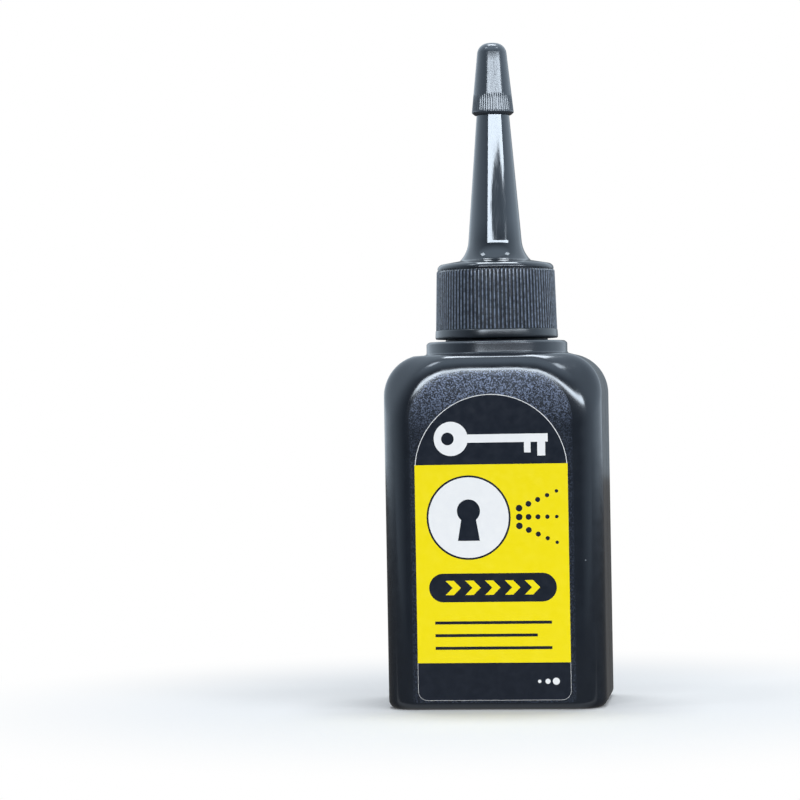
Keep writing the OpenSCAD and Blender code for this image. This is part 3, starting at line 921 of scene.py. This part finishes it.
# %% Label: print the signs
key_x, key_z, key_bow, key_shaft, key_length = -7.2 * mm, 49.2 * mm, 3.1 * mm, 1.5 * mm, 17.6 * mm
key_eye_shift, key_eye_radius = 0.6 * mm, 1.15 * mm
lock_x, lock_z, lock_radius, lock_edge = -4.2 * mm, 34.9 * mm, 7.3 * mm, 0.35 * mm
keyhole_rise, keyhole_radius, keyhole_half, keyhole_drop = 1.2 * mm, 2.1 * mm, 2.0 * mm, 4.2 * mm
band_z, band_half_height, band_half_length = 22.2 * mm, 2.6 * mm, 9.0 * mm
chevron_width, chevron_height = 1.5 * mm, 2.6 * mm
rule_x, rule_height = -10.6 * mm, 0.55 * mm
dot_x, dot_z, dot_step = 8.2 * mm, 5.2 * mm, 1.5 * mm

white_signs = [key_outline(key_x, key_z, key_bow, key_shaft, key_length)]
white_signs += [disc(dot_x + dot_step * i, dot_z, (0.3 + 0.17 * i) * mm, 24) for i in range(3)]
print_plates("label_white_signs", white_signs, field_front, motif_front, white_film)
grains = [disc(lock_x + lock_radius + (1.9 + 1.7 * i) * mm, lock_z + spread * (0.8 + 0.38 * i) * mm,
               (0.6 - 0.07 * i) * mm, 24) for i in range(5) for spread in (-2, 0, 2)]
rules = [bar(rule_x, (11.0 + 2.3 * i) * mm, (21.2 - 2.6 * (i % 2)) * mm, rule_height) for i in range(3)]
band = (arc((band_half_length, band_z), band_half_height, -90, 90, 16)
        + arc((-band_half_length, band_z), band_half_height, 90, 270, 16))
black_signs = [disc(lock_x, lock_z, lock_radius + lock_edge, 72), band] + grains + rules
print_plates("label_black_signs", black_signs, field_front, motif_front + 0.005 * mm, black_ink)
print_plates("label_lock_face", [disc(lock_x, lock_z, lock_radius, 72)], field_front, motif_front, white_film)
keyhole_foot = lock_z - keyhole_drop
keyhole = (arc((lock_x, lock_z + keyhole_rise), keyhole_radius, -50, 230, 32)
           + [(lock_x - keyhole_half, keyhole_foot), (lock_x + keyhole_half, keyhole_foot)])
key_eye = disc(key_x - key_eye_shift, key_z, key_eye_radius, 32)
print_plates("label_keyhole", [keyhole, key_eye], field_front, overprint_front, black_ink)
chevrons = [chevron((-8.6 + 3.6 * i) * mm, band_z, chevron_width, chevron_height) for i in range(5)]
print_plates("label_chevrons", chevrons, field_front, motif_front, yellow_ink)

# %% [markdown]
# **Washer and powder.** The foam washer under the cap and the charge of graphite keep the shapes that they
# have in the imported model. They only need their own surfaces: closed-cell foam is pale and finely pitted,
# and graphite powder is dark grey with a soft metallic sheen.

# %% Foam and graphite
foam_cell, foam_pit = 0.3 * mm, 0.05 * mm
lump_size, lump_depth = 0.8 * mm, 0.4 * mm


def inner_surface(name, pattern_kind, pattern_settings, tones, depth, strength, shader_settings):
    """A pattern that changes the tone from one colour to another and raises a relief."""
    material, tree, shader, place = new_material(name)
    pattern = add_node(tree, pattern_kind, {"Vector": place, **pattern_settings})
    tone = add_node(tree, "Mix", {0: pattern, COLOUR_A: linear(tones[0]), COLOUR_B: linear(tones[1])},
                    data_type="RGBA")
    relief = add_node(tree, "Bump", {"Height": pattern, "Distance": depth, "Strength": strength})
    set_inputs(tree, shader, {"Base Color": tone, "Normal": relief, **shader_settings})
    return material


cell_foam = inner_surface("closed_cell_foam", "TexVoronoi", {"Scale": 1 / foam_cell}, ("#D8D5CC", "#ECEAE4"),
                          depth=foam_pit, strength=0.6, shader_settings={"Roughness": 0.85})
loose_graphite = inner_surface("loose_graphite_powder", "TexNoise", {"Scale": 1 / lump_size, "Detail": 8.0},
                               ("#26272A", "#4A4C50"), depth=lump_depth, strength=0.7,
                               shader_settings={"Metallic": 0.4, "Roughness": 0.55})
for node_name, material in (("sealing_washer", cell_foam), ("graphite_powder", loose_graphite)):
    mesh = frame["nodes"][node_name].data
    mesh.materials.clear()
    mesh.materials.append(material)
    print(node_name, "takes", material.name)

# %% [markdown]
# **Camera.** The picture was taken from a little to the right of the label's middle, level with the upper
# part of the label and with a long lens. The lens is given by the picture's scale: so many pixels for the
# distance to the object. The bottle's axis stands right of the middle and leans a degree to the left.

# %% Camera
image_pixels = 800
focal_pixels = 3040
axis_column = 497.8
horizon_row = 401.7
view_azimuth = math.radians(5.3)
camera_distance = 566 * mm
camera_height = 56.1 * mm
camera_roll = math.radians(-1.0)

camera = bpy.data.objects.new("camera", bpy.data.cameras.new("camera"))
bpy.context.scene.collection.objects.link(camera)
camera.data.sensor_width = 36
camera.data.lens = camera.data.sensor_width * focal_pixels / image_pixels
camera.data.clip_start = 10 * mm
pan = math.atan((axis_column - image_pixels / 2) / focal_pixels)
tilt = math.atan((horizon_row - image_pixels / 2) / focal_pixels)
camera.matrix_world = (Matrix.Translation((camera_distance * math.sin(view_azimuth),
                                           -camera_distance * math.cos(view_azimuth), camera_height))
                       @ Matrix.Rotation(view_azimuth + pan, 4, "Z") @ Matrix.Rotation(math.pi / 2 + tilt, 4, "X")
                       @ Matrix.Rotation(camera_roll, 4, "Z"))
bpy.context.scene.camera = camera
print("lens", round(camera.data.lens, 1), "mm")

# %% [markdown]
# **Light.** A row of softboxes in front, a little above the camera, makes the bright bar on the spout and the
# bright line along the front edge of the shoulder. Its lower edge arches over the dark of the room behind the
# camera, and a low upright softbox at its left end carries the bar down the spout. One overhead lights the floor
# and the upper edges. Two at the sides give the small glints on the foot of the spout and lengthen the line on
# the shoulder. A lamp's power is worked out from how bright it should look, where 1 is white.

# %% Lamps: a softbox
light_target = Vector((0, 0, 80 * mm))
daylight = (0.965, 1.0, 1.035)


def softbox(name, azimuth, elevation, distance, width, height, brightness):
    """A rectangular lamp that faces the object. Its width and height are given in degrees, as seen from it."""
    lamp = bpy.data.lights.new(name, "AREA")
    lamp.shape = "RECTANGLE"
    lamp.size, lamp.size_y = (2 * distance * math.tan(math.radians(angle / 2)) for angle in (width, height))
    lamp.color = daylight
    lamp.energy = brightness * math.pi * lamp.size * lamp.size_y
    holder = bpy.data.objects.new(name, lamp)
    bpy.context.scene.collection.objects.link(holder)
    flat = cosine(elevation)
    away = Vector((flat * sine(azimuth), -flat * cosine(azimuth), sine(elevation)))
    holder.location = light_target + away * distance
    holder.rotation_euler = (-away).to_track_quat("-Z", "Y").to_euler()
    holder.visible_camera = False
    print(f"{name}: {lamp.energy:.1f} W")


# %% Lamps: the row in front and the others
lamp_distance, near_lamp_distance = 2.5, 0.9
row_left, row_right, row_high = -28, 65, 21
row_lamps = 14
arch_azimuth, arch_height = 31, 14.4
left_fall, left_run, right_fall, right_run = 1.5, 45, 1.4, 22
column_right, column_low, column_high = -17, 11, 12.9
front_brightness, overhead_brightness, side_brightness = 15.2, 11, 7


def row_low(azimuth):
    """The lower edge of the row, which arches over the dark of the room behind the camera."""
    if azimuth < arch_azimuth:
        return arch_height - left_fall * min(1, (arch_azimuth - azimuth) / left_run) ** 4
    return arch_height - right_fall * min(1, (azimuth - arch_azimuth) / right_run) ** 2


lamp_step = (row_right - row_left) / row_lamps
for number in range(row_lamps):
    azimuth = row_left + lamp_step * (number + 0.5)
    middle = (row_low(azimuth) + row_high) / 2
    softbox(f"front_row_{number + 1}", azimuth, middle, lamp_distance, lamp_step * cosine(middle),
            row_high - row_low(azimuth), front_brightness)
softbox("front_column", (row_left + column_right) / 2, (column_low + column_high) / 2, lamp_distance,
        column_right - row_left, column_high - column_low, front_brightness)
softbox("overhead", azimuth=180, elevation=77, distance=near_lamp_distance, width=33, height=16,
        brightness=overhead_brightness)
for side, azimuth in (("left", -66), ("right", 74)):
    softbox(side, azimuth, elevation=58, distance=near_lamp_distance, width=11, height=9,
            brightness=side_brightness)

# %% [markdown]
# The room is white, as the background is. The part behind the camera is dim, and it darkens the middle of
# what the glossy plastic mirrors, while the backdrop at both sides gives the edges their light rims. Rays that
# leave the camera see plain white. The floor is white too: close to the object it shows the shadow, and further
# out it melts into the background. In reflections it is dim, so that the foot and the sides stay dark, apart
# from a narrow brighter strip, a painted reflection that draws a light line along the round of the heel.

# %% Room
room_tint = "#DCEBF8"
room_fill = 0.1
dim_strength, backdrop_strength, ceiling_strength = 0.1, 1.6, 1.7
dim_middle_share = 0.2
# Where these meet, as the part of a direction that points along Y, away from the camera, or along Z, upwards
dim_until, backdrop_from = -0.8, 0.3
middle_edge, middle_full = 0.88, 0.97
ceiling_edge, ceiling_full = 0.45, 0.8
ceiling_back, ceiling_front = 0.1, -0.2


def white_room():
    """White to the camera. In reflections it brightens from behind the camera to the backdrop and the ceiling,
    and only the middle of the backdrop, straight behind the object, is dim again."""
    world = bpy.data.worlds.new("white_room")
    bpy.context.scene.world = world
    world.use_nodes = True
    world.cycles.sampling_method = "NONE"
    tree = world.node_tree
    rays = add_node(tree, "LightPath").outputs
    axes = add_node(tree, "SeparateXYZ", {0: add_node(tree, "TexCoord").outputs["Generated"]})
    front = add_node(tree, "MapRange", {0: axes.outputs["Y"], 1: dim_until, 2: backdrop_from, 3: dim_strength,
                                        4: backdrop_strength})
    back = add_node(tree, "MapRange", {0: axes.outputs["Y"], 1: middle_edge, 2: middle_full, 3: 1.0,
                                       4: dim_middle_share})
    depth = add_node(tree, "Math", {0: front, 1: back}, operation="MULTIPLY")
    up = add_node(tree, "MapRange", {0: axes.outputs["Z"], 1: ceiling_edge, 2: ceiling_full, 3: 0.0,
                                     4: ceiling_strength})
    ahead = add_node(tree, "MapRange", {0: axes.outputs["Y"], 1: ceiling_back, 2: ceiling_front})
    ceiling = add_node(tree, "Math", {0: up, 1: ahead}, operation="MULTIPLY")
    room = add_node(tree, "Math", {0: depth, 1: ceiling}, operation="MAXIMUM")
    mirrored = add_node(tree, "Math", {0: rays["Is Glossy Ray"], 1: room}, operation="MULTIPLY")
    soft = add_node(tree, "Math", {0: rays["Is Diffuse Ray"], 1: room_fill}, operation="MULTIPLY")
    seen = add_node(tree, "Math", {0: rays["Is Camera Ray"], 1: rays["Is Transmission Ray"]}, operation="MAXIMUM")
    strength = add_node(tree, "Math", {0: mirrored, 1: soft}, operation="MAXIMUM")
    strength = add_node(tree, "Math", {0: strength, 1: seen}, operation="MAXIMUM")
    colour = add_node(tree, "Mix", {0: seen, COLOUR_A: linear(room_tint), COLOUR_B: (1, 1, 1, 1)},
                      data_type="RGBA")
    set_inputs(tree, tree.nodes["Background"], {"Color": colour, "Strength": strength})


white_room()
print("world", bpy.context.scene.world.name)

# %% Floor
floor_front, floor_back, floor_half = -0.15, 1.6, 1.2
shadow_reach, white_from = 40 * mm, 120 * mm
floor_tone, bounce_tone = "#F6F6F6", "#BCBCBC"
mirrored_floor = 0.12
# Painted reflection: how bright the strip in front of the heel is in reflections
heel_glow = 0.6
glow_start, glow_end, glow_fade = -14 * mm, -16.3 * mm, 2 * mm


def white_floor():
    """Matt white where the shadow lies, plain white to the camera further out, and dimmer in reflections."""
    material, tree, shader, place = new_material("matt_white_floor")
    rays = add_node(tree, "LightPath").outputs
    tone = add_node(tree, "Mix", {0: rays["Is Diffuse Ray"], COLOUR_A: linear(floor_tone),
                                  COLOUR_B: linear(bounce_tone)}, data_type="RGBA")
    set_inputs(tree, shader, {"Base Color": tone, "Roughness": 0.9})
    away = add_node(tree, "VectorMath", {0: place}, operation="LENGTH")
    far = add_node(tree, "MapRange", {0: away, 1: shadow_reach, 2: white_from}, interpolation_type="SMOOTHSTEP")
    hidden = add_node(tree, "Math", {0: far, 1: rays["Is Camera Ray"]}, operation="MULTIPLY")
    blend = add_node(tree, "Math", {0: hidden, 1: rays["Is Glossy Ray"]}, operation="MAXIMUM")
    # Painted reflection: a strip of floor just in front of the heel glows brighter in reflections, for a light
    # line on the heel
    ahead = add_node(tree, "SeparateXYZ", {0: place}).outputs["Y"]
    near = add_node(tree, "MapRange", {0: ahead, 1: glow_start, 2: glow_start - glow_fade})
    inside = add_node(tree, "MapRange", {0: ahead, 1: glow_end - glow_fade, 2: glow_end})
    strip = add_node(tree, "Math", {0: near, 1: inside}, operation="MULTIPLY")
    mirrored = add_node(tree, "MapRange", {0: strip, 3: mirrored_floor, 4: heel_glow})
    dim = add_node(tree, "Mix", {0: rays["Is Glossy Ray"], 2: 1.0, 3: mirrored})
    glow = add_node(tree, "Emission", {"Color": (1, 1, 1, 1), "Strength": dim})
    paint = add_node(tree, "MixShader", {0: blend, 1: shader, 2: glow})
    set_inputs(tree, tree.nodes["Material Output"], {"Surface": paint})
    return material


floor = start_piece("floor", bpy.ops.mesh.primitive_plane_add, size=1,
                    location=(0, (floor_front + floor_back) / 2, 0))
floor.scale = (2 * floor_half, floor_back - floor_front, 1)
bpy.ops.object.transform_apply(location=True, scale=True)
floor.data.materials.append(white_floor())
print("floor", [round(side, 2) for side in floor.dimensions])

# %% View transform
bpy.context.scene.view_settings.view_transform = "Standard"
